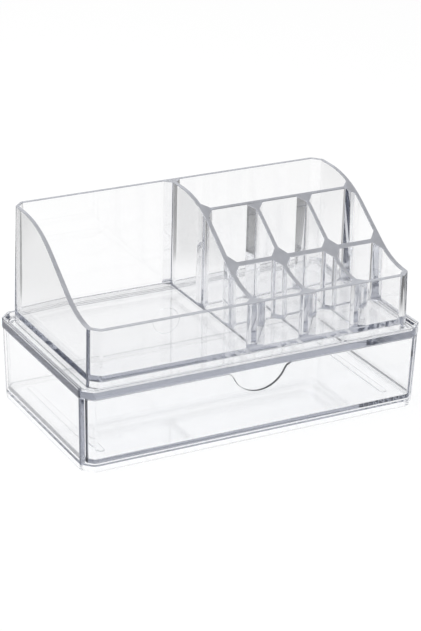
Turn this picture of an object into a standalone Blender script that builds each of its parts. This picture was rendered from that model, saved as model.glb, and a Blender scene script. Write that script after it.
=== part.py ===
"""Clear cosmetics organizer: a partitioned tray that stands on a housing with one drawer.

Four injection mouldings: the housing body, its top plate with a raised rim, the drawer and the tray.
The origin is the middle of the footprint on the surface the organizer stands on. +Z is up and the
drawer pulls out towards -Y. All lengths are in metres.
"""

import math
from dataclasses import dataclass

import bmesh
import bpy
from mathutils import Matrix, Vector

OBJECT_NAME = "cosmetics_organizer"

# Housing outline, at the level of its top plate
HOUSING_WIDTH = 0.240
HOUSING_DEPTH = 0.1337
HOUSING_HEIGHT = 0.0557
HOUSING_CHAMFER = 0.0071
HOUSING_DRAFT = math.radians(1.4)

# Top plate with its raised rim
PLATE_THICKNESS = 0.0032
PLATE_OVERHANG = 0.0003
RIM_HEIGHT = 0.0031
RIM_THICKNESS = 0.0024
RIM_FILLET = 0.0026

# Housing body
BODY_WALL = 0.0024
BODY_FLOOR = 0.0022
BODY_FOOT_HEIGHT = 0.0032
BODY_FOOT_WIDTH = 0.0030
RAIL_WIDTH = 0.0044
RAIL_HEIGHT = 0.0003
RAIL_SIDE_SETBACK = 0.0188
RAIL_END_SETBACK = 0.0150
GATE_MARK_DIAMETER = 0.020
GATE_MARK_DEPTH = 0.0005

# Drawer
DRAWER_WALL = 0.0020
DRAWER_FLOOR = 0.0022
DRAWER_FILLET = 0.0026
NOTCH_RADIUS = 0.0196
NOTCH_DEPTH = 0.0152
NOTCH_LEAD_IN = 0.0060

# Tray outline, at the level of its top edge, set in from the housing's sides and ends
TRAY_SIDE_SETBACK = 0.0084
TRAY_END_SETBACK = 0.0062
TRAY_HEIGHT = 0.0791
TRAY_FRONT_HEIGHT = 0.0381
TRAY_CHAMFER = 0.0063
TRAY_DRAFT = math.radians(0.93)

# Tray walls, floor and pockets
TRAY_WALL = 0.0024
TRAY_FLOOR = 0.0034
TRAY_FOOT_HEIGHT = 0.0042
TRAY_FOOT_WIDTH = 0.0028
DIVIDER_THICKNESS = 0.0028
PARTITION_THICKNESS = 0.0023
REAR_POCKET_DEPTH = 0.0430
MIDDLE_POCKET_DEPTH = 0.0346
SMALL_POCKET_COLUMNS = 3
POCKET_CHAMFER = 0.0046
POCKET_DRAFT = math.radians(0.35)

# Ogee that trims the tray's side walls, divider and partitions
OGEE_CREST_RADIUS = 0.0717
OGEE_TOE_RADIUS = 0.0546
OGEE_CREST_SETBACK = 0.0175
OGEE_TOE_SETBACK = 0.0058
OGEE_ARC_STEPS = 10

# Clearances between the mouldings
SEAT_GAP = 0.0003
DRAWER_SIDE_GAP = 0.0006
DRAWER_REAR_GAP = 0.0010
DRAWER_TOP_GAP = 0.0006

# Edge rounding of the upright corners, and the overrun of every cutter
CORNER_ROUNDING = 0.0030
POCKET_ROUNDING = 0.0010
ROUNDING_STEPS = 3
FILLET_STEPS = 4
NOTCH_ARC_STEPS = 20
LEAD_IN_STEPS = 6
RAIL_END_STEPS = 8
GATE_MARK_STEPS = 48
CUT_OVERRUN = 0.004
WELD_DISTANCE = 0.00001

# Sizes and levels that follow from the ones above
RAIL_LENGTH = HOUSING_DEPTH - 2 * RAIL_END_SETBACK
RAIL_GAUGE = HOUSING_WIDTH - 2 * RAIL_SIDE_SETBACK
TRAY_WIDTH = HOUSING_WIDTH - 2 * TRAY_SIDE_SETBACK
TRAY_DEPTH = HOUSING_DEPTH - 2 * TRAY_END_SETBACK
PLATE_UNDERSIDE = HOUSING_HEIGHT - RIM_HEIGHT - PLATE_THICKNESS
PLATE_TOP = PLATE_UNDERSIDE + PLATE_THICKNESS
BODY_TOP = PLATE_UNDERSIDE - SEAT_GAP
BODY_FLOOR_TOP = BODY_FOOT_HEIGHT + BODY_FLOOR
DRAWER_BOTTOM = BODY_FLOOR_TOP + RAIL_HEIGHT + SEAT_GAP
DRAWER_TOP = PLATE_UNDERSIDE - DRAWER_TOP_GAP
TRAY_BOTTOM = PLATE_TOP + SEAT_GAP
TRAY_FLOOR_UNDERSIDE = TRAY_BOTTOM + TRAY_FOOT_HEIGHT
TRAY_FLOOR_TOP = TRAY_FLOOR_UNDERSIDE + TRAY_FLOOR
TRAY_FRONT_TOP = TRAY_BOTTOM + TRAY_FRONT_HEIGHT
TRAY_TOP = TRAY_BOTTOM + TRAY_HEIGHT


@dataclass
class Plan:
    """Outline of a block seen from above: four sides, and the legs of its 45 degree corner chamfers."""

    left: float
    right: float
    front: float
    back: float
    front_chamfer: float
    back_chamfer: float

    def inset(self, margin):
        """The same outline moved inwards by margin all round, chamfers included."""
        shorter = margin * (2 - math.sqrt(2))
        return Plan(
            self.left + margin,
            self.right - margin,
            self.front + margin,
            self.back - margin,
            self.front_chamfer - shorter,
            self.back_chamfer - shorter,
        )


def centred_plan(width, depth, chamfer):
    """Outline centred on the origin."""
    return Plan(-width / 2, width / 2, -depth / 2, depth / 2, chamfer, chamfer)


def clear_scene():
    """Remove the scene's objects and the collections that held them."""
    for obj in list(bpy.data.objects):
        bpy.data.objects.remove(obj, do_unlink=True)
    for collection in list(bpy.data.collections):
        bpy.data.collections.remove(collection)


def add_collection(name):
    """New collection in the scene."""
    collection = bpy.data.collections.new(name)
    bpy.context.scene.collection.children.link(collection)
    return collection


def clear_plastic(name, tint):
    """Transparent moulded plastic, with the faint tint of one piece."""
    material = bpy.data.materials.new(name)
    material.use_nodes = True
    shader = material.node_tree.nodes["Principled BSDF"]
    shader.inputs["Base Color"].default_value = (*tint, 1)
    shader.inputs["Metallic"].default_value = 0
    shader.inputs["Roughness"].default_value = 0.05
    shader.inputs["IOR"].default_value = 1.5
    shader.inputs["Alpha"].default_value = 0.35
    material.diffuse_color = (*tint, 0.35)
    return material


def link_mesh(bm, name, collection):
    """Object made from a bmesh, in one collection."""
    mesh = bpy.data.meshes.new(name)
    bm.to_mesh(mesh)
    bm.free()
    obj = bpy.data.objects.new(name, mesh)
    collection.objects.link(obj)
    return obj


def middle_level(bm):
    """Mean height of a bmesh's vertices."""
    return sum(vert.co.z for vert in bm.verts) / len(bm.verts)


def upright_edges(bm):
    """Edges that run from the lower to the upper face."""
    middle = middle_level(bm)
    return [e for e in bm.edges if (e.verts[0].co.z - middle) * (e.verts[1].co.z - middle) < 0]


def lower_edges(bm):
    """Edges of the lower face."""
    middle = middle_level(bm)
    return [e for e in bm.edges if max(vert.co.z for vert in e.verts) < middle]


def bevel_edges(bm, edges, width, steps):
    """Bevel some edges of a bmesh by width along the faces that meet there."""
    bmesh.ops.bevel(
        bm,
        geom=edges,
        offset=width,
        offset_type="OFFSET",
        segments=steps,
        profile=0.5,
        affect="EDGES",
    )


def chamfered_block(plan, low, high, level, slope):
    """Bmesh of a block with drafted sides and chamfered upright corners.

    The plan holds at one level, and each side stands outwards by slope for each metre below it.
    """
    bm = bmesh.new()
    bmesh.ops.create_cube(bm, size=1)
    for vert in bm.verts:
        z = high if vert.co.z > 0 else low
        spread = (level - z) * slope
        x = plan.right + spread if vert.co.x > 0 else plan.left - spread
        y = plan.back + spread if vert.co.y > 0 else plan.front - spread
        vert.co = (x, y, z)
    middle = (plan.front + plan.back) / 2
    front = [e for e in upright_edges(bm) if e.verts[0].co.y < middle]
    back = [e for e in upright_edges(bm) if e.verts[0].co.y > middle]
    if plan.front_chamfer > 0:
        bevel_edges(bm, front, plan.front_chamfer, 1)
    bevel_edges(bm, back, plan.back_chamfer, 1)
    return bm


def drafted_block(name, plan, low, high, level, slope, collection, rounding=CORNER_ROUNDING):
    """Chamfered block whose upright corners are rounded to a radius."""
    bm = chamfered_block(plan, low, high, level, slope)
    bevel_edges(bm, upright_edges(bm), rounding * math.tan(math.pi / 8), ROUNDING_STEPS)
    return link_mesh(bm, name, collection)


def filleted_well(name, plan, low, high, level, slope, collection, fillet):
    """Chamfered cutter whose lower edges are rounded, for a well with a fillet round its floor."""
    bm = chamfered_block(plan, low, high, level, slope)
    bevel_edges(bm, lower_edges(bm), fillet, FILLET_STEPS)
    return link_mesh(bm, name, collection)


def outline_prism(name, points, thickness, placing, collection):
    """Solid made from a flat outline, extruded by thickness about its plane and placed by a matrix."""
    curve = bpy.data.curves.new(name, "CURVE")
    curve.dimensions = "2D"
    curve.fill_mode = "BOTH"
    curve.extrude = thickness / 2
    spline = curve.splines.new("POLY")
    spline.points.add(len(points) - 1)
    for point, (x, y) in zip(spline.points, points):
        point.co = (x, y, 0, 1)
    spline.use_cyclic_u = True
    guide = bpy.data.objects.new(name, curve)
    collection.objects.link(guide)
    graph = bpy.context.evaluated_depsgraph_get()
    bm = bmesh.new()
    bm.from_mesh(bpy.data.meshes.new_from_object(guide.evaluated_get(graph)))
    bpy.data.objects.remove(guide, do_unlink=True)
    bmesh.ops.remove_doubles(bm, verts=bm.verts, dist=WELD_DISTANCE)
    bmesh.ops.transform(bm, matrix=placing, verts=bm.verts)
    bmesh.ops.recalc_face_normals(bm, faces=bm.faces)
    return link_mesh(bm, name, collection)


def arc(centre_x, centre_y, radius, start, end, steps):
    """Points along an arc, from the start angle to the end angle, both included."""
    angles = [start + (end - start) * i / steps for i in range(steps + 1)]
    return [(centre_x + radius * math.cos(a), centre_y + radius * math.sin(a)) for a in angles]


def boolean(obj, other, operation):
    """Live Boolean modifier that cuts with, or adds, another object."""
    modifier = obj.modifiers.new(f"{operation.lower()} {other.name}", "BOOLEAN")
    modifier.operation = operation
    modifier.object = other
    modifier.solver = "EXACT"
    other.hide_render = True
    other.display_type = "WIRE"


def cut(obj, cutter):
    """Cut obj with another object."""
    boolean(obj, cutter, "DIFFERENCE")


def place_origin(obj, origin):
    """Put the object's origin at a point without moving its surface."""
    obj.data.transform(Matrix.Translation(-origin))
    obj.location = origin


def housing_plan():
    """Outline of the top plate."""
    return centred_plan(HOUSING_WIDTH, HOUSING_DEPTH, HOUSING_CHAMFER)


def body_plan():
    """Outline of the body's upper edge, just inside the plate's."""
    return housing_plan().inset(PLATE_OVERHANG)


def body_slope():
    """Outward lean of the body's and drawer's sides for each metre down: a negative value leans inwards."""
    return -math.tan(HOUSING_DRAFT)


def cavity_plan():
    """Outline of the space inside the body, which runs out through its open front."""
    plan = body_plan().inset(BODY_WALL)
    plan.front = body_plan().front - CUT_OVERRUN
    plan.front_chamfer = 0
    return plan


def drawer_plan():
    """Outline of the drawer: clear of the body's walls, with its front corners on the body's chamfers."""
    margin = BODY_WALL + DRAWER_SIDE_GAP
    plan = body_plan().inset(margin)
    plan.front = body_plan().front
    plan.front_chamfer = HOUSING_CHAMFER - margin
    plan.back = body_plan().back - BODY_WALL - DRAWER_REAR_GAP
    return plan


def tray_plan():
    """Outline of the tray at the level of its top edge."""
    return centred_plan(TRAY_WIDTH, TRAY_DEPTH, TRAY_CHAMFER)


def make_top_plate(parts, cutters):
    """Plate that closes the body, with the rim that keeps the tray in place."""
    plan = housing_plan()
    plate = drafted_block(
        "housing_top_plate", plan, PLATE_UNDERSIDE, HOUSING_HEIGHT, HOUSING_HEIGHT, 0, parts
    )
    well = plan.inset(RIM_THICKNESS)
    above = HOUSING_HEIGHT + CUT_OVERRUN
    cut(plate, filleted_well("rim_well", well, PLATE_TOP, above, PLATE_TOP, 0, cutters, RIM_FILLET))
    return plate


def stadium(length, width):
    """Outline of a long bar with round ends, centred on the origin and lying along Y."""
    radius = width / 2
    reach = length / 2 - radius
    return arc(0, reach, radius, 0, math.pi, RAIL_END_STEPS) + arc(
        0, -reach, radius, math.pi, 2 * math.pi, RAIL_END_STEPS
    )


def add_glide_rails(body, cutters):
    """Two low rails on the floor that the drawer slides on."""
    height = BODY_FLOOR / 2 + RAIL_HEIGHT
    level = BODY_FLOOR_TOP + RAIL_HEIGHT - height / 2
    for side in (-1, 1):
        placing = Matrix.Translation((side * RAIL_GAUGE / 2, 0, level))
        rail = outline_prism("glide_rail", stadium(RAIL_LENGTH, RAIL_WIDTH), height, placing, cutters)
        boolean(body, rail, "UNION")


def cut_gate_mark(body, cutters):
    """Shallow round recess in the middle of the back wall, square to the drafted face."""
    level = BODY_TOP / 2
    face = body_plan().back - (BODY_TOP - level) * math.tan(HOUSING_DRAFT)
    length = GATE_MARK_DEPTH + CUT_OVERRUN
    bm = bmesh.new()
    bmesh.ops.create_cone(
        bm,
        cap_ends=True,
        segments=GATE_MARK_STEPS,
        radius1=GATE_MARK_DIAMETER / 2,
        radius2=GATE_MARK_DIAMETER / 2,
        depth=length,
    )
    along = Matrix.Translation((0, 0, length / 2 - GATE_MARK_DEPTH))
    facing = Matrix.Rotation(-math.pi / 2 - HOUSING_DRAFT, 4, "X")
    bmesh.ops.transform(bm, matrix=Matrix.Translation((0, face, level)) @ facing @ along, verts=bm.verts)
    cut(body, link_mesh(bm, "gate_mark", cutters))


def make_body(parts, cutters):
    """Tub that holds the drawer: a floor on a foot rim, two sides and a back, open at the front."""
    slope = body_slope()
    body = drafted_block("housing_body", body_plan(), 0, BODY_TOP, BODY_TOP, slope, parts)
    cavity = cavity_plan()
    cut(
        body,
        drafted_block("cavity", cavity, BODY_FLOOR_TOP, BODY_TOP + CUT_OVERRUN, BODY_TOP, slope, cutters),
    )
    hollow = body_plan().inset(BODY_FOOT_WIDTH)
    cut(body, drafted_block("foot_hollow", hollow, -CUT_OVERRUN, BODY_FOOT_HEIGHT, BODY_TOP, slope, cutters))
    cut_gate_mark(body, cutters)
    add_glide_rails(body, cutters)
    return body


def notch_outline():
    """Half-round finger notch with rounded lead-ins, in the X and Z directions of the drawer's front."""
    centre = DRAWER_TOP - NOTCH_DEPTH + NOTCH_RADIUS
    lead_centre = DRAWER_TOP - NOTCH_LEAD_IN
    reach = math.sqrt((NOTCH_RADIUS + NOTCH_LEAD_IN) ** 2 - (centre - lead_centre) ** 2)
    meeting = math.atan2(centre - lead_centre, reach)
    left = arc(-reach, lead_centre, NOTCH_LEAD_IN, math.pi / 2, meeting, LEAD_IN_STEPS)
    round_part = arc(0, centre, NOTCH_RADIUS, math.pi + meeting, 2 * math.pi - meeting, NOTCH_ARC_STEPS)
    right = [(-x, z) for x, z in reversed(left)]
    above = DRAWER_TOP + CUT_OVERRUN
    return [(-reach, above)] + left + round_part[1:-1] + right + [(reach, above)]


def make_drawer(parts, cutters):
    """Open box whose front closes the housing flush, with a finger notch in its upper edge."""
    plan = drawer_plan()
    slope = body_slope()
    drawer = drafted_block("drawer", plan, DRAWER_BOTTOM, DRAWER_TOP, BODY_TOP, slope, parts)
    floor = DRAWER_BOTTOM + DRAWER_FLOOR
    inside = plan.inset(DRAWER_WALL)
    above = DRAWER_TOP + CUT_OVERRUN
    cut(drawer, filleted_well("drawer_well", inside, floor, above, BODY_TOP, slope, cutters, DRAWER_FILLET))
    upright = Matrix.Translation((0, plan.front, 0)) @ Matrix.Rotation(math.pi / 2, 4, "X")
    depth = (DRAWER_WALL + CUT_OVERRUN) * 2
    cut(drawer, outline_prism("finger_notch", notch_outline(), depth, upright, cutters))
    place_origin(drawer, Vector((0, plan.front, DRAWER_BOTTOM)))
    return drawer


def ogee_line():
    """Points of the ogee from the tray's low front to its high back, in the Y and Z directions.

    It is a concave toe arc and a convex crest arc joined by their common tangent.
    """
    toe_y = tray_plan().front + OGEE_TOE_SETBACK
    crest_y = tray_plan().back - OGEE_CREST_SETBACK
    span = crest_y - toe_y
    rise = TRAY_TOP - TRAY_FRONT_TOP
    radii = OGEE_CREST_RADIUS + OGEE_TOE_RADIUS
    fitted = min(1, (span**2 + rise**2) / (2 * rise * radii))
    toe_radius = OGEE_TOE_RADIUS * fitted
    crest_radius = OGEE_CREST_RADIUS * fitted
    radii = toe_radius + crest_radius
    run = math.sqrt(max(0, span**2 + rise**2 - 2 * rise * radii))
    angle = math.atan2(radii, run) - math.atan2(radii - rise, span)
    down = -math.pi / 2
    toe = arc(toe_y, TRAY_FRONT_TOP + toe_radius, toe_radius, down, down + angle, OGEE_ARC_STEPS)
    up = math.pi / 2
    crest = arc(crest_y, TRAY_TOP - crest_radius, crest_radius, up + angle, up, OGEE_ARC_STEPS)
    return toe + crest


def cut_ogee(tray, cutters):
    """Trim everything that stands above the ogee and the level back edge."""
    front = tray_plan().front - 2 * CUT_OVERRUN
    back = tray_plan().back + 2 * CUT_OVERRUN
    above = TRAY_TOP + 2 * CUT_OVERRUN
    line = [(front, TRAY_FRONT_TOP)] + ogee_line() + [(back, TRAY_TOP)]
    outline = line + [(back, above), (front, above)]
    across = Matrix(((0, 0, 1, 0), (1, 0, 0, 0), (0, 1, 0, 0), (0, 0, 0, 1)))
    cut(tray, outline_prism("ogee_trim", outline, TRAY_WIDTH + 2 * CUT_OVERRUN, across, cutters))


def pocket_plans():
    """Outlines of the pockets, at the level of the tray's top edge."""
    inner = tray_plan().inset(TRAY_WALL)
    rear_front = inner.back - REAR_POCKET_DEPTH
    middle_back = rear_front - PARTITION_THICKNESS
    middle_front = middle_back - MIDDLE_POCKET_DEPTH
    front_back = middle_front - PARTITION_THICKNESS
    right_start = DIVIDER_THICKNESS / 2
    gaps = PARTITION_THICKNESS * (SMALL_POCKET_COLUMNS - 1)
    width = (inner.right - right_start - gaps) / SMALL_POCKET_COLUMNS
    limits = [
        (inner.left, -DIVIDER_THICKNESS / 2, inner.front, inner.back),
        (right_start, inner.right, rear_front, inner.back),
    ]
    for column in range(SMALL_POCKET_COLUMNS):
        left = right_start + column * (width + PARTITION_THICKNESS)
        limits.append((left, left + width, middle_front, middle_back))
        limits.append((left, left + width, inner.front, front_back))
    return [Plan(*sides, POCKET_CHAMFER, POCKET_CHAMFER) for sides in limits]


def make_tray(parts, cutters):
    """Tray of pockets that stands inside the rim on a foot rim of its own."""
    plan = tray_plan()
    slope = math.tan(TRAY_DRAFT)
    top = TRAY_TOP + CUT_OVERRUN
    tray = drafted_block("organizer_tray", plan, TRAY_BOTTOM, top, TRAY_TOP, slope, parts)
    hollow = plan.inset(TRAY_FOOT_WIDTH)
    low = TRAY_BOTTOM - CUT_OVERRUN
    cut(tray, drafted_block("tray_hollow", hollow, low, TRAY_FLOOR_UNDERSIDE, TRAY_TOP, slope, cutters))
    cut_ogee(tray, cutters)
    inward = -math.tan(POCKET_DRAFT)
    above = top + CUT_OVERRUN
    for plan in pocket_plans():
        pocket = drafted_block(
            "pocket", plan, TRAY_FLOOR_TOP, above, TRAY_TOP, inward, cutters, POCKET_ROUNDING
        )
        cut(tray, pocket)
    place_origin(tray, Vector((0, 0, TRAY_BOTTOM)))
    return tray


def main():
    """Build the four mouldings."""
    clear_scene()
    parts = add_collection(OBJECT_NAME)
    cutters = add_collection("cutters")
    body = make_body(parts, cutters)
    plate = make_top_plate(parts, cutters)
    drawer = make_drawer(parts, cutters)
    tray = make_tray(parts, cutters)
    body.data.materials.append(clear_plastic("body_plastic", (0.90, 0.92, 0.95)))
    plate.data.materials.append(clear_plastic("plate_plastic", (0.88, 0.90, 0.94)))
    drawer.data.materials.append(clear_plastic("drawer_plastic", (0.91, 0.93, 0.96)))
    tray.data.materials.append(clear_plastic("tray_plastic", (0.92, 0.94, 0.97)))


if __name__ == "__main__":
    main()
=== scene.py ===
"""Looks of a clear cosmetics organizer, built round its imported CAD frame.

The four mouldings are taken from the frame's own solids, get the small edge radii that a mould leaves,
and a clear plastic that refracts, tints with depth and ripples a little.
"""

import math

import bmesh
import bpy
from bpy.props import FloatProperty, FloatVectorProperty, IntProperty, PointerProperty
from mathutils import Matrix, Vector


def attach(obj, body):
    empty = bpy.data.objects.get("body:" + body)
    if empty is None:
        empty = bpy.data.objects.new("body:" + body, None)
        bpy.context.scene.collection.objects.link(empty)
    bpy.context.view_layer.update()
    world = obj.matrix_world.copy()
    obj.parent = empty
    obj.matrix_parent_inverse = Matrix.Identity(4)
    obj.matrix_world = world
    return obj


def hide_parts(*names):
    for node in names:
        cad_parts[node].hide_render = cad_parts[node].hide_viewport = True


bl_info = {
    "name": "Clear Cosmetics Organizer",
    "version": (1, 0, 0),
    "blender": (4, 5, 0),
    "location": "View3D > Sidebar > Organizer",
    "description": "Dresses a moulded clear organizer with its drawer, and sets its stage",
    "category": "Object",
}

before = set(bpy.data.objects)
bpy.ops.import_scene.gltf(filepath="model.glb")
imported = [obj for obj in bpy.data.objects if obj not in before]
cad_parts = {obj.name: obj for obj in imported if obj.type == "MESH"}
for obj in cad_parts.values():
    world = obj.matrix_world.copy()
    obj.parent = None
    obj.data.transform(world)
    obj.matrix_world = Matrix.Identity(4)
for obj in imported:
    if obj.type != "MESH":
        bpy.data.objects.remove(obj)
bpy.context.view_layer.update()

MERGE_DISTANCE = 0.00001
FLAT_ANGLE = math.radians(0.4)
SHARP_ANGLE = math.radians(24)

# Painted dark screens: sectors of the floor's glow, unseen by the camera, darkened as painted shade for the plastic
# to show.
PAINTED_SCREEN_REACH = (0.22, 0.25)
PAINTED_SCREEN_RIGHT_SECTOR = (math.radians(41), math.radians(56))
PAINTED_SCREEN_LEFT_SECTOR = (math.radians(-62), math.radians(-41))
PAINTED_SCREEN_EDGE = math.radians(3)

DRAWER_FILLET = (0.0082, 0.0108)
DRAWER_FILLET_KEPT = 0.4
NOTCH_HALF_WIDTH = 0.021
NOTCH_BOTTOM = 0.031
NOTCH_FRONT = -0.064
NOTCH_LIP = 0.0012
NOTCH_LIP_TOP = 0.0470
NOTCH_LIP_STEPS = 4

NOTCH_FACING = 0.97

RIM_LOWEST = 0.075
RIM_FACING = 0.25

MARK_LIFT = 0.0001
TRAY_MARKS = tuple((x, y, 0.0605) for x in (0.0186, 0.0553, 0.0920) for y in (-0.0411, -0.0044)) + (
    (-0.0553, 0.0, 0.0605),
    (0.0553, 0.0367, 0.0605),
)
DRAWER_MARKS = tuple((x, y, 0.0082) for x in (-0.085, 0.085) for y in (-0.038, 0.038))

RIPPLE_SCALE = 24.0
HAZE_SCALE = 60.0
HAZE_RANGE = (0.45, 0.75)
HAZE_ROUGHNESS = 0.015
RIM_CLOUD_SCALE = 140.0
RIM_CLOUD_SHARE = 0.2
GRAIN_SCALE = 900.0
GRAIN_HEIGHT = 0.00005
RING_SIDES = 28
BEAD_SIDES = 6
OUTER_FACING = -0.9
TURNED_FACING = 0.5

WHITE = (1.0, 1.0, 1.0, 1.0)
SHADOW_TINT = (0.93, 0.945, 0.96, 1.0)
# Painted shade: the dark grey base colour of the notch's cut edge.
NOTCH_PAINTED_SHADE_TONE = (0.06, 0.06, 0.065, 1.0)
TABLE_TONE = (0.16, 0.16, 0.16, 1.0)
SCREEN_FLOOR = (0.20, 0.32)
ROOM_RISE = (0.35, 0.75)
BACK_SECTOR = (0.4, 0.75)
LAMP_PLACE = (-0.3, 0.2, 1.2)
LAMP_SIZE = (1.0, 0.8)
LAMP_POWER = 9.0
LONG_PATH = 160
CLEAR_PATH = 48

PHOTO_SIZE = (421, 631)
SENSOR = 36.0


class EdgeSettings(bpy.types.PropertyGroup):
    """Radii that the mould leaves on the plastic's edges."""

    radius: FloatProperty(
        name="Edge radius", description="Radius of every moulded edge", default=0.00035, min=0.0,
        subtype="DISTANCE", unit="LENGTH",
    )
    segments: IntProperty(name="Edge segments", description="Faces across one rounded edge", default=3, min=1)


class PlasticSettings(bpy.types.PropertyGroup):
    """The clear plastic, and the satin on its upper edges, whose grey colour is painted shade."""

    refraction: FloatProperty(name="Refraction", description="Index of refraction of the plastic", default=1.59)
    depth_tint: FloatVectorProperty(
        name="Depth tint", description="Colour that thick plastic takes on", subtype="COLOR",
        default=(0.20, 0.24, 0.36), min=0.0, max=1.0,
    )
    depth_density: FloatProperty(name="Depth density", description="How fast the tint builds up", default=8.0)
    # Grey of the rims' satin: painted shade.
    rim_painted_shade_tone: FloatVectorProperty(
        name="Rim tone", description="Colour of the satin on the tray's upper edges", subtype="COLOR",
        default=(0.55, 0.56, 0.60), min=0.0, max=1.0,
    )
    # Share of the rims that takes the satin with its painted grey shade.
    rim_satin_and_shade: FloatProperty(
        name="Rim satin", description="Share of the upper edges that is satin", default=0.6,
        min=0.0, max=1.0, subtype="FACTOR",
    )
    ripple: FloatProperty(
        name="Ripple", description="Height of the slow ripple left by the melt", default=0.000003,
        subtype="DISTANCE", unit="LENGTH",
    )


class MarkSettings(bpy.types.PropertyGroup):
    """Rings left by the mould's ejector pins."""

    radius: FloatProperty(
        name="Ring radius", description="Radius of an ejector mark", default=0.003, subtype="DISTANCE", unit="LENGTH",
    )
    bead: FloatProperty(
        name="Bead radius", description="Half the thickness of a mark's raised line", default=0.00012,
        subtype="DISTANCE", unit="LENGTH",
    )


class StageSettings(bpy.types.PropertyGroup):
    """Floor, world and camera."""

    floor_size: FloatProperty(
        name="Floor size", description="Side of the floor", default=6.0, subtype="DISTANCE", unit="LENGTH",
    )
    floor_glow: FloatProperty(
        name="Floor white", description="Share of the floor's white that shade can't dim", default=0.86,
        min=0.0, max=1.0, subtype="FACTOR",
    )
    sky_low: FloatProperty(
        name="Low sky", description="White of the backdrop near the horizon", default=1.0,
        min=0.0, max=1.0, subtype="FACTOR",
    )
    sky_high: FloatProperty(
        name="High sky", description="Grey of the room overhead", default=0.42, min=0.0, max=1.0, subtype="FACTOR",
    )
    dim_floor: FloatProperty(
        name="Dim far floor", description="Share of the far floor's white that mirrored light loses", default=0.6,
        min=0.0, max=1.0, subtype="FACTOR",
    )
    dim_room: FloatProperty(
        name="Dim room", description="Share of the room's white that mirrored light loses", default=0.1,
        min=0.0, max=1.0, subtype="FACTOR",
    )
    # Tones of the screens painted dark into the floor's glow: painted shade, unseen by the camera.
    painted_screen_right: FloatProperty(
        name="Right screen", description="Tone of the dark screen right of the table", default=0.02,
        min=0.0, max=1.0, subtype="FACTOR",
    )
    painted_screen_left: FloatProperty(
        name="Left screen", description="Tone of the grey screen left of the table", default=0.1,
        min=0.0, max=1.0, subtype="FACTOR",
    )
    camera_azimuth: FloatProperty(
        name="Camera azimuth", description="Turn about the organizer", default=math.radians(-28.0758),
        subtype="ANGLE", unit="ROTATION",
    )
    camera_elevation: FloatProperty(
        name="Camera elevation", description="Height above the horizon", default=math.radians(22.9787),
        subtype="ANGLE", unit="ROTATION",
    )
    camera_roll: FloatProperty(
        name="Camera roll", description="Tilt of the horizon", default=math.radians(1.2849),
        subtype="ANGLE", unit="ROTATION",
    )
    camera_distance: FloatProperty(
        name="Camera distance", description="Distance from the aim", default=1.393759,
        subtype="DISTANCE", unit="LENGTH",
    )
    camera_aim: FloatVectorProperty(
        name="Camera aim", description="Point the camera looks at", default=(-0.0004328, -0.0003485, 0.0587944),
        subtype="XYZ", unit="LENGTH",
    )
    camera_focal: FloatProperty(name="Focal length", description="In pixels of the picture", default=2174.13)


class Sock:
    """An output socket that takes part in Python expressions, each of which adds a Math node."""

    def __init__(self, shader, socket):
        self.shader = shader
        self.socket = socket

    def math(self, operation, *others):
        """One Math node on this value and the others."""
        return self.shader.node("ShaderNodeMath", {"operation": operation}, dict(enumerate((self, *others))))

    def __add__(self, other):
        return self.math("ADD", other)

    __radd__ = __add__

    def __mul__(self, other):
        return self.math("MULTIPLY", other)

    __rmul__ = __mul__

    def __sub__(self, other):
        return self.math("SUBTRACT", other)

    def __rsub__(self, other):
        return (self * -1) + other

    def __truediv__(self, other):
        return self.math("DIVIDE", other)

    def __pow__(self, other):
        return self.math("POWER", other)

    def clamped(self):
        """This value kept between 0 and 1."""
        return self.math("MINIMUM", 1.0).math("MAXIMUM", 0.0)

    def band(self, low, high, edge):
        """1 between low and high, 0 outside, with soft edges."""
        return self.smooth(low - edge, low) * (1 - self.smooth(high, high + edge))

    def smooth(self, low, high):
        """0 below low, 1 above high, and a smooth step between them."""
        settings = {"interpolation_type": "SMOOTHSTEP"}
        inputs = {"Value": self, "From Min": low, "From Max": high}
        return self.shader.node("ShaderNodeMapRange", settings, inputs)


class Shader:
    """Builds the node tree of one material or world."""

    def __init__(self, owner):
        owner.use_nodes = True
        self.tree = owner.node_tree
        self.tree.nodes.clear()

    def node(self, kind, settings=None, inputs=None, output=0):
        """Add a node: its settings first, then the values or links of its inputs."""
        node = self.tree.nodes.new(kind)
        for name, value in (settings or {}).items():
            setattr(node, name, value)
        for name, value in (inputs or {}).items():
            if isinstance(value, Sock):
                self.tree.links.new(value.socket, node.inputs[name])
            else:
                node.inputs[name].default_value = value
        return Sock(self, node.outputs[output]) if node.outputs else None

    def mix(self, factor, first, second):
        """Mix Shader of two shaders."""
        return self.node("ShaderNodeMixShader", None, {0: factor, 1: first, 2: second})

    def add(self, first, second):
        """Add Shader of two shaders."""
        return self.node("ShaderNodeAddShader", None, {0: first, 1: second})

    def dot(self, vector, axis):
        """Dot product of a vector socket and a fixed axis."""
        return self.node("ShaderNodeVectorMath", {"operation": "DOT_PRODUCT"}, {0: vector, 1: axis}, "Value")

    def path(self, name):
        """One output of Light Path."""
        return self.node("ShaderNodeLightPath", None, None, name)


def new_material(name):
    """Empty node material."""
    material = bpy.data.materials.new(name)
    return material, Shader(material)


def depth_tint(shader, settings):
    """What light loses on its way through the plastic."""
    inputs = {"Color": (*settings.depth_tint, 1.0), "Density": settings.depth_density}
    return shader.node("ShaderNodeVolumeAbsorption", None, inputs)


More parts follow.
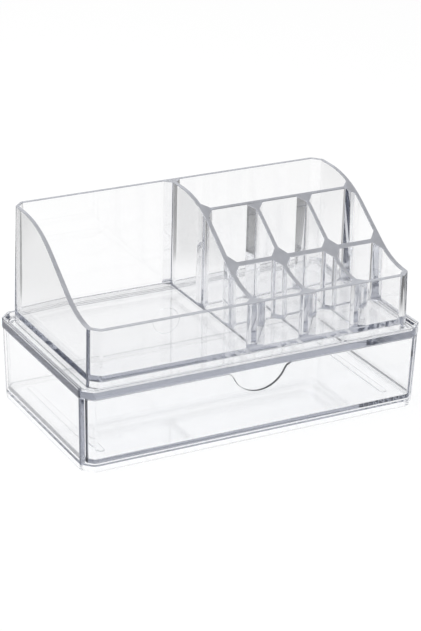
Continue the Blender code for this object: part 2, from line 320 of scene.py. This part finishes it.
def clear_plastic(name):
    """Clear moulded plastic: it refracts, tints with depth, and its faces ripple slightly."""
    settings = bpy.context.scene.organizer_plastic
    material, shader = new_material(name)
    place = shader.node("ShaderNodeTexCoord", None, None, "Object")
    slow = shader.node("ShaderNodeTexNoise", None, {"Vector": place, "Scale": RIPPLE_SCALE, "Detail": 1.0})
    normal = shader.node(
        "ShaderNodeBump", None, {"Strength": 1.0, "Distance": settings.ripple, "Height": slow}
    )
    haze = shader.node("ShaderNodeTexNoise", None, {"Vector": place, "Scale": HAZE_SCALE, "Detail": 3.0})
    body = shader.node(
        "ShaderNodeBsdfPrincipled",
        None,
        {
            "Base Color": WHITE,
            "Roughness": haze.smooth(*HAZE_RANGE) * HAZE_ROUGHNESS,
            "IOR": settings.refraction,
            "Transmission Weight": 1.0,
            "Normal": normal,
        },
    )
    bare = shader.node("ShaderNodeBsdfTransparent", None, {"Color": SHADOW_TINT})
    surface = shader.mix(shader.path("Is Shadow Ray"), body, bare)
    inside = depth_tint(shader, settings)
    shader.node("ShaderNodeOutputMaterial", None, {"Surface": surface, "Volume": inside})
    return material


def satin_rim_painted_shade(name):
    """The tray's upper edges: clear plastic with a fine satin left by the mould, whose grey base colour is painted
    shade, so they read as grey lines.
    """
    settings = bpy.context.scene.organizer_plastic
    material, shader = new_material(name)
    place = shader.node("ShaderNodeTexCoord", None, None, "Object")
    cloud = shader.node("ShaderNodeTexNoise", None, {"Vector": place, "Scale": RIM_CLOUD_SCALE, "Detail": 3.0})
    clear = shader.node(
        "ShaderNodeBsdfPrincipled",
        None,
        {"Base Color": WHITE, "Roughness": 0.02, "IOR": settings.refraction, "Transmission Weight": 1.0},
    )
    # Satin with a grey base colour: painted shade on the rims.
    satin = shader.node(
        "ShaderNodeBsdfPrincipled",
        None,
        {"Base Color": (*settings.rim_painted_shade_tone, 1.0), "Roughness": 0.4, "IOR": 1.5},
    )
    # Share of the painted grey satin, varied at random by the cloud noise.
    veil = settings.rim_satin_and_shade + (cloud - 0.5) * RIM_CLOUD_SHARE
    surface = shader.mix(veil, clear, satin)
    inside = depth_tint(shader, settings)
    shader.node("ShaderNodeOutputMaterial", None, {"Surface": surface, "Volume": inside})
    return material


def painted_shade_notch_finish(name):
    """Satin edge where the finger notch is cut, its base colour painted dark grey as shade, so it shows as a dark
    grey line.
    """
    material, shader = new_material(name)
    place = shader.node("ShaderNodeTexCoord", None, None, "Object")
    grain = shader.node("ShaderNodeTexNoise", None, {"Vector": place, "Scale": GRAIN_SCALE, "Detail": 2.0})
    normal = shader.node("ShaderNodeBump", None, {"Strength": 0.3, "Distance": GRAIN_HEIGHT, "Height": grain})
    body = shader.node(
        "ShaderNodeBsdfPrincipled",
        None,
        {
            # Dark base colour: painted shade along the notch's cut edge.
            "Base Color": NOTCH_PAINTED_SHADE_TONE,
            "Roughness": 0.35,
            "IOR": 1.5,
            "Transmission Weight": 0.3,
            "Normal": normal,
        },
    )
    shader.node("ShaderNodeOutputMaterial", None, {"Surface": body})
    return material


def merged_copy(node):
    """A copy of a CAD node's solid, with its loose triangles joined into flat faces."""
    bm = bmesh.new()
    bm.from_mesh(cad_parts[node].data)
    bmesh.ops.remove_doubles(bm, verts=bm.verts, dist=MERGE_DISTANCE)
    bmesh.ops.dissolve_limit(bm, angle_limit=FLAT_ANGLE, verts=bm.verts, edges=bm.edges)
    for face in bm.faces:
        face.smooth = True
    for edge in bm.edges:
        edge.smooth = len(edge.link_faces) == 2 and edge.calc_face_angle(0.0) < SHARP_ANGLE
    return bm


def link_piece(name, bm):
    """Object made from a bmesh, at the origin."""
    mesh = bpy.data.meshes.new(name)
    bm.to_mesh(mesh)
    bm.free()
    piece = bpy.data.objects.new(name, mesh)
    bpy.context.scene.collection.objects.link(piece)
    return piece


def baked(piece):
    """Replace a piece's mesh by what its modifiers make of it."""
    graph = bpy.context.evaluated_depsgraph_get()
    mesh = bpy.data.meshes.new_from_object(piece.evaluated_get(graph), depsgraph=graph)
    piece.modifiers.clear()
    piece.data = mesh
    return piece


def round_edges(piece):
    """Give every sharp edge the mould's small radius."""
    settings = bpy.context.scene.organizer_edges
    bevel = piece.modifiers.new("mould radius", "BEVEL")
    bevel.width = settings.radius
    bevel.segments = settings.segments
    bevel.limit_method = "ANGLE"
    bevel.angle_limit = SHARP_ANGLE
    bevel.use_clamp_overlap = False
    level = piece.modifiers.new("flat faces", "WEIGHTED_NORMAL")
    level.mode = "FACE_AREA"
    level.weight = 100
    level.keep_sharp = True
    return baked(piece)


def heading_of(vert):
    """Angle of a vertex round the middle of its piece."""
    return math.atan2(vert.co.y, vert.co.x)


def tighten_fillet(bm, low, high, kept):
    """Pull the rings of an inner fillet towards its corner, so that only a share of its radius is kept."""
    rings = {}
    for vert in bm.verts:
        if low - MERGE_DISTANCE < vert.co.z < high + MERGE_DISTANCE:
            rings.setdefault(round(vert.co.z, 5), []).append(vert)
    levels = sorted(rings, reverse=True)
    wall = [vert.co.copy() for vert in sorted(rings[levels[0]], key=heading_of)]
    for level in levels:
        ring = sorted(rings[level], key=heading_of)
        for vert, edge in zip(ring, wall):
            corner = Vector((edge.x, edge.y, low))
            vert.co = corner + (vert.co - corner) * kept


def on_notch(vert):
    """Whether a vertex of the drawer lies on the outline of its finger notch."""
    return abs(vert.co.x) < NOTCH_HALF_WIDTH and vert.co.z > NOTCH_BOTTOM and vert.co.y < NOTCH_FRONT


def round_notch(bm):
    """Give the notch's outer edge the wide soft lip that a finger meets."""
    bm.normal_update()
    outline = []
    for edge in bm.edges:
        curved = all(on_notch(vert) and vert.co.z < NOTCH_LIP_TOP for vert in edge.verts)
        turned = any(abs(face.normal.y) < TURNED_FACING for face in edge.link_faces)
        outer = any(face.normal.y < OUTER_FACING for face in edge.link_faces)
        if curved and turned and outer:
            outline.append(edge)
    bmesh.ops.bevel(
        bm, geom=outline, offset=NOTCH_LIP, segments=NOTCH_LIP_STEPS, profile=0.5, affect="EDGES", clamp_overlap=True
    )


class Geometry:
    """Builds a Geometry Nodes group with named inputs."""

    def __init__(self, name, inputs):
        self.tree = bpy.data.node_groups.new(name, "GeometryNodeTree")
        self.identifiers = {}
        for label, kind in {"Geometry": "NodeSocketGeometry", **inputs}.items():
            socket = self.tree.interface.new_socket(name=label, in_out="INPUT", socket_type=kind)
            self.identifiers[label] = socket.identifier
        self.tree.interface.new_socket(name="Geometry", in_out="OUTPUT", socket_type="NodeSocketGeometry")
        self.inputs = self.tree.nodes.new("NodeGroupInput").outputs

    def node(self, kind, settings=None, inputs=None, output=0):
        """Add a node: its settings first, then the values or links of its inputs."""
        node = self.tree.nodes.new(kind)
        for name, value in (settings or {}).items():
            setattr(node, name, value)
        for name, value in (inputs or {}).items():
            if isinstance(value, bpy.types.NodeSocket):
                self.tree.links.new(value, node.inputs[name])
            else:
                node.inputs[name].default_value = value
        return node.outputs[output]

    def finish(self, shape, material):
        """End the group in real geometry with one material."""
        real = self.node("GeometryNodeRealizeInstances", None, {"Geometry": shape})
        dressed = self.node("GeometryNodeSetMaterial", None, {"Geometry": real, "Material": material})
        end = self.tree.nodes.new("NodeGroupOutput")
        self.tree.links.new(dressed, end.inputs["Geometry"])


def ring_marks():
    """Group that sets one thin moulded ring on every point it is given."""
    group = Geometry(
        "ring_marks",
        {"Ring radius": "NodeSocketFloat", "Bead radius": "NodeSocketFloat", "Finish": "NodeSocketMaterial"},
    )
    circle = "GeometryNodeCurvePrimitiveCircle"
    ring = group.node(circle, None, {"Resolution": RING_SIDES, "Radius": group.inputs["Ring radius"]})
    bead = group.node(circle, None, {"Resolution": BEAD_SIDES, "Radius": group.inputs["Bead radius"]})
    mark = group.node("GeometryNodeCurveToMesh", None, {"Curve": ring, "Profile Curve": bead})
    smooth = group.node("GeometryNodeSetShadeSmooth", None, {"Geometry": mark})
    points = group.node("GeometryNodeMeshToPoints", None, {"Mesh": group.inputs["Geometry"]})
    copies = group.node("GeometryNodeInstanceOnPoints", None, {"Points": points, "Instance": smooth})
    group.finish(copies, group.inputs["Finish"])
    return group


def make_marks(name, points, body):
    """Ejector marks: the faint rings that the mould's pins leave on the floors."""
    settings = bpy.context.scene.organizer_marks
    bm = bmesh.new()
    for x, y, z in points:
        bm.verts.new((x, y, z + MARK_LIFT + settings.bead))
    piece = link_piece(name, bm)
    group = ring_marks()
    rings = piece.modifiers.new("ring marks", "NODES")
    rings.node_group = group.tree
    rings[group.identifiers["Ring radius"]] = settings.radius
    rings[group.identifiers["Bead radius"]] = settings.bead
    rings[group.identifiers["Finish"]] = clear_plastic(name + "_plastic")
    baked(piece)
    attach(piece, body)


def finish_faces(piece, material, chosen):
    """Give the faces that a test chooses a second material."""
    piece.data.materials.append(material)
    for face in piece.data.polygons:
        if chosen(face):
            face.material_index = 1


def on_rim(face):
    """Whether a face of the tray is on one of its upper edges."""
    return face.center.z > RIM_LOWEST and face.normal.z > RIM_FACING


def in_notch(face):
    """Whether a face of the drawer is on the cut edge of its finger notch."""
    spot = face.center
    near = abs(spot.x) < NOTCH_HALF_WIDTH and spot.z > NOTCH_BOTTOM and spot.y < NOTCH_FRONT
    return near and abs(face.normal.y) < NOTCH_FACING


def make_moulding(name, bm):
    """One clear moulding with its edge radii."""
    piece = link_piece(name, bm)
    round_edges(piece)
    piece.data.materials.clear()
    piece.data.materials.append(clear_plastic(name + "_plastic"))
    return piece


def join_frame(piece, node, body):
    """Let a moulding stand in for its CAD node."""
    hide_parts(node)
    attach(piece, body)


def make_tray():
    """The partitioned tray, with satin upper edges painted grey as shade."""
    piece = make_moulding("tray", merged_copy("organizer_tray"))
    # The rims get the satin with its painted grey shade.
    finish_faces(piece, satin_rim_painted_shade("tray_rim_painted_shade"), on_rim)
    join_frame(piece, "organizer_tray", "tray")


def make_drawer():
    """The drawer, with its finger notch cut and lipped, and the notch's cut edge painted dark grey as shade."""
    bm = merged_copy("drawer")
    tighten_fillet(bm, *DRAWER_FILLET, DRAWER_FILLET_KEPT)
    round_notch(bm)
    piece = make_moulding("drawer_box", bm)
    # The notch's cut edge gets a material painted dark grey as shade.
    finish_faces(piece, painted_shade_notch_finish("notch_painted_shade"), in_notch)
    join_frame(piece, "drawer", "drawer")


class ORGANIZER_OT_tray(bpy.types.Operator):
    """Make the partitioned tray"""

    bl_idname = "organizer.tray"
    bl_label = "Tray"

    def execute(self, context):
        make_tray()
        make_marks("tray_marks", TRAY_MARKS, "tray")
        return {"FINISHED"}


class ORGANIZER_OT_housing(bpy.types.Operator):
    """Make the housing's body and top plate"""

    bl_idname = "organizer.housing"
    bl_label = "Housing"

    def execute(self, context):
        body = make_moulding("body", merged_copy("housing_body"))
        join_frame(body, "housing_body", "housing")
        plate = make_moulding("top_plate", merged_copy("housing_top_plate"))
        join_frame(plate, "housing_top_plate", "housing")
        return {"FINISHED"}


class ORGANIZER_OT_drawer(bpy.types.Operator):
    """Make the drawer"""

    bl_idname = "organizer.drawer"
    bl_label = "Drawer"

    def execute(self, context):
        make_drawer()
        make_marks("drawer_marks", DRAWER_MARKS, "drawer")
        return {"FINISHED"}


def make_floor(settings):
    """White table that keeps the organizer's shadow, with two dark screens painted into its glow beyond the
    organizer, unseen by the camera, as painted shade that the plastic shows.
    """
    bm = bmesh.new()
    bmesh.ops.create_grid(bm, x_segments=1, y_segments=1, size=settings.floor_size / 2)
    floor = link_piece("floor", bm)
    material, shader = new_material("white_table")
    place = shader.node("ShaderNodeTexCoord", None, None, "Object")
    azimuth = settings.camera_azimuth
    across = shader.dot(place, (math.cos(azimuth), math.sin(azimuth), 0))
    deep = shader.dot(place, (-math.sin(azimuth), math.cos(azimuth), 0))
    heading = across.math("ARCTAN2", deep)
    reach = shader.node("ShaderNodeVectorMath", {"operation": "LENGTH"}, {0: place}, "Value")
    # Painted shade: beyond the reach, two sectors of the floor's glow are darkened for all rays but the camera's.
    hidden = reach.smooth(*PAINTED_SCREEN_REACH) * (1 - shader.path("Is Camera Ray"))
    right = heading.band(*PAINTED_SCREEN_RIGHT_SECTOR, PAINTED_SCREEN_EDGE) * (1 - settings.painted_screen_right)
    left = heading.band(*PAINTED_SCREEN_LEFT_SECTOR, PAINTED_SCREEN_EDGE) * (1 - settings.painted_screen_left)
    mirrored = shader.path("Glossy Depth").clamped()
    far = mirrored * reach.smooth(*SCREEN_FLOOR) * settings.dim_floor
    white = (1 - hidden * (right + left)) * (1 - far) * settings.floor_glow
    glow = shader.node("ShaderNodeEmission", None, {"Color": WHITE, "Strength": white})
    matt = shader.node("ShaderNodeBsdfDiffuse", None, {"Color": TABLE_TONE})
    shader.node("ShaderNodeOutputMaterial", None, {"Surface": shader.add(glow, matt)})
    floor.data.materials.append(material)


def make_world(settings):
    """Backdrop: white to the camera, and to the plastic a white horizon under a grey room."""
    world = bpy.data.worlds.new("studio")
    bpy.context.scene.world = world
    shader = Shader(world)
    heading = shader.node("ShaderNodeTexCoord", None, None, "Generated")
    rise = shader.node("ShaderNodeSeparateXYZ", None, {"Vector": heading}, "Z")
    room = rise.smooth(*ROOM_RISE)
    level = settings.sky_low + room * (settings.sky_high - settings.sky_low)
    seen = shader.path("Is Camera Ray")
    azimuth = settings.camera_azimuth
    deep = shader.dot(heading, (-math.sin(azimuth), math.cos(azimuth), 0))
    mirrored = shader.path("Glossy Depth").clamped()
    level = level * (1 - mirrored * (1 - deep.smooth(*BACK_SECTOR)) * settings.dim_room)
    strength = level + seen * (1 - level)
    sky = shader.node("ShaderNodeBackground", None, {"Color": WHITE, "Strength": strength})
    shader.node("ShaderNodeOutputWorld", None, {"Surface": sky})


def make_lamp(name, place, aim, size, power):
    """Soft box."""
    light = bpy.data.lights.new(name, "AREA")
    light.shape = "RECTANGLE"
    light.size, light.size_y = size
    light.energy = power
    lamp = bpy.data.objects.new(name, light)
    bpy.context.scene.collection.objects.link(lamp)
    lamp.location = place
    lamp.rotation_euler = (Vector(aim) - Vector(place)).to_track_quat("-Z", "Y").to_euler()


def make_camera(settings):
    """Camera at the photograph's angle."""
    azimuth = settings.camera_azimuth
    elevation = settings.camera_elevation
    roll = settings.camera_roll
    back = Vector(
        (
            math.sin(azimuth) * math.cos(elevation),
            -math.cos(azimuth) * math.cos(elevation),
            math.sin(elevation),
        )
    )
    level = Vector((0, 0, 1)).cross(back).normalized()
    upright = back.cross(level)
    right = level * math.cos(roll) + upright * math.sin(roll)
    up = upright * math.cos(roll) - level * math.sin(roll)
    data = bpy.data.cameras.new("camera")
    data.sensor_width = SENSOR
    data.lens = settings.camera_focal * SENSOR / max(PHOTO_SIZE)
    data.clip_start = 0.01
    data.clip_end = 100.0
    camera = bpy.data.objects.new("camera", data)
    bpy.context.scene.collection.objects.link(camera)
    turn = Matrix((right, up, back)).transposed().to_4x4()
    place = Vector(settings.camera_aim) + back * settings.camera_distance
    camera.matrix_world = Matrix.Translation(place) @ turn
    bpy.context.scene.camera = camera


class ORGANIZER_OT_stage(bpy.types.Operator):
    """Set the floor, the world, the lamps and the camera"""

    bl_idname = "organizer.stage"
    bl_label = "Stage"

    def execute(self, context):
        scene = context.scene
        settings = scene.organizer_stage
        make_floor(settings)
        make_world(settings)
        make_lamp("overhead_box", LAMP_PLACE, (0, 0, 0), LAMP_SIZE, LAMP_POWER)
        make_camera(settings)
        scene.view_settings.view_transform = "Standard"
        scene.cycles.max_bounces = LONG_PATH
        scene.cycles.transmission_bounces = LONG_PATH
        scene.cycles.glossy_bounces = LONG_PATH
        scene.cycles.transparent_max_bounces = CLEAR_PATH
        return {"FINISHED"}


class ORGANIZER_PT_panel(bpy.types.Panel):
    """The organizer's settings and pieces"""

    bl_idname = "ORGANIZER_PT_panel"
    bl_label = "Cosmetics Organizer"
    bl_space_type = "VIEW_3D"
    bl_region_type = "UI"
    bl_category = "Organizer"

    def draw(self, context):
        layout = self.layout
        for group in SETTINGS:
            settings = getattr(context.scene, group)
            for name in settings.__annotations__:
                layout.prop(settings, name)
        for operator in OPERATORS:
            layout.operator(operator.bl_idname)


SETTINGS = {
    "organizer_edges": EdgeSettings,
    "organizer_plastic": PlasticSettings,
    "organizer_marks": MarkSettings,
    "organizer_stage": StageSettings,
}
OPERATORS = (
    ORGANIZER_OT_tray,
    ORGANIZER_OT_housing,
    ORGANIZER_OT_drawer,
    ORGANIZER_OT_stage,
)
CLASSES = (*SETTINGS.values(), *OPERATORS, ORGANIZER_PT_panel)


def register():
    """Register the classes and their settings."""
    for item in CLASSES:
        bpy.utils.register_class(item)
    for name, group in SETTINGS.items():
        setattr(bpy.types.Scene, name, PointerProperty(type=group))


def unregister():
    """Take the settings and the classes away again."""
    for name in SETTINGS:
        delattr(bpy.types.Scene, name)
    for item in reversed(CLASSES):
        bpy.utils.unregister_class(item)


def main():
    """Make every piece and the stage."""
    register()
    bpy.ops.organizer.tray()
    bpy.ops.organizer.housing()
    bpy.ops.organizer.drawer()
    bpy.ops.organizer.stage()


if __name__ == "__main__":
    main()
